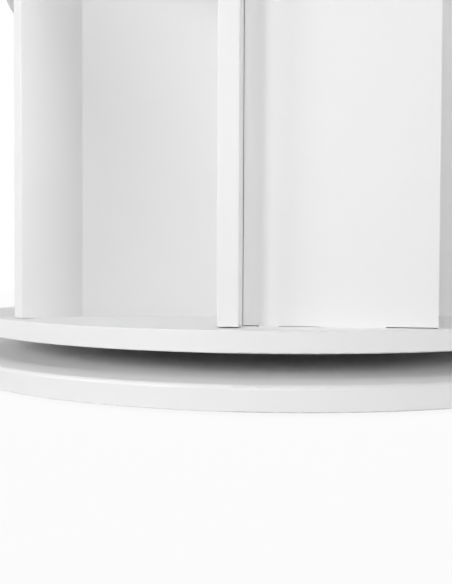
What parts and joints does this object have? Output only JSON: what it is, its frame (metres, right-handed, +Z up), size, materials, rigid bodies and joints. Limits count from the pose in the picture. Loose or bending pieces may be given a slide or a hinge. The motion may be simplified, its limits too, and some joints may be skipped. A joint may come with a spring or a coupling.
{
  "type": "rotating pantry cabinet",
  "caption": "Round white pantry tower that turns on a hidden bearing above a disc plinth, with open shelf compartments and pockets behind flat front panels.",
  "frame": {"origin": "on the spin axis, at floor level under the felt pads", "axes": "+Z up along the spin axis; the front that the picture shows faces -Y, with +X to its right"},
  "size_m": [0.65, 0.65, 1.3918],
  "materials": {
    "white_board": "smooth satin white melamine-faced board with matching edge band",
    "bearing_steel": "zinc-plated pressed steel",
    "bright_steel": "bright-plated steel hardware",
    "felt": "dense grey felt",
    "cap_plastic": "white moulded plastic"
  },
  "bodies": {
    "stand": {"felt_pads": "felt", "plinth_disc": "white_board", "lower_bearing_plate": "bearing_steel", "lower_plate_screws": "bright_steel", "centre_bolt": "bright_steel", "retaining_washer": "bright_steel", "lock_nut": "bright_steel"},
    "cage": {"ball_cage": "bright_steel", "bearing_balls": "bright_steel"},
    "tower": {"upper_bearing_plate": "bearing_steel", "upper_plate_screws": "bright_steel", "base_disc": "white_board", "top_disc": "white_board", "side_panel_1": "white_board", "side_panel_2": "white_board", "side_panel_3": "white_board", "divider_1": "white_board", "divider_2": "white_board", "divider_3": "white_board", "front_panel_1": "white_board", "front_panel_2": "white_board", "front_panel_3": "white_board", "back_panel_1": "white_board", "back_panel_2": "white_board", "back_panel_3": "white_board", "pocket_back_1": "white_board", "pocket_back_2": "white_board", "pocket_back_3": "white_board", "shelf_1_1": "white_board", "shelf_1_2": "white_board", "shelf_1_3": "white_board", "shelf_2_1": "white_board", "shelf_2_2": "white_board", "shelf_2_3": "white_board", "shelf_3_1": "white_board", "shelf_3_2": "white_board", "shelf_3_3": "white_board", "pocket_shelf_1_1": "white_board", "pocket_shelf_1_2": "white_board", "pocket_shelf_1_3": "white_board", "pocket_shelf_2_1": "white_board", "pocket_shelf_2_2": "white_board", "pocket_shelf_2_3": "white_board", "pocket_shelf_3_1": "white_board", "pocket_shelf_3_2": "white_board", "pocket_shelf_3_3": "white_board", "shelf_pins": "bright_steel", "panel_screws": "bright_steel", "screw_caps": "cap_plastic"}
  },
  "joints": [
    {"name": "tower_spin", "type": "hinge", "parent": "stand", "child": "tower", "pos_m": [0, 0, 0.03], "axis": [0, 0, 1], "continuous": true},
    {"name": "cage_spin", "type": "hinge", "parent": "stand", "child": "cage", "pos_m": [0, 0, 0.03], "axis": [0, 0, 1], "continuous": true}
  ],
  "couplings": [
    {"joint": "cage_spin", "follows": "tower_spin", "ratio": 0.5}
  ]
}
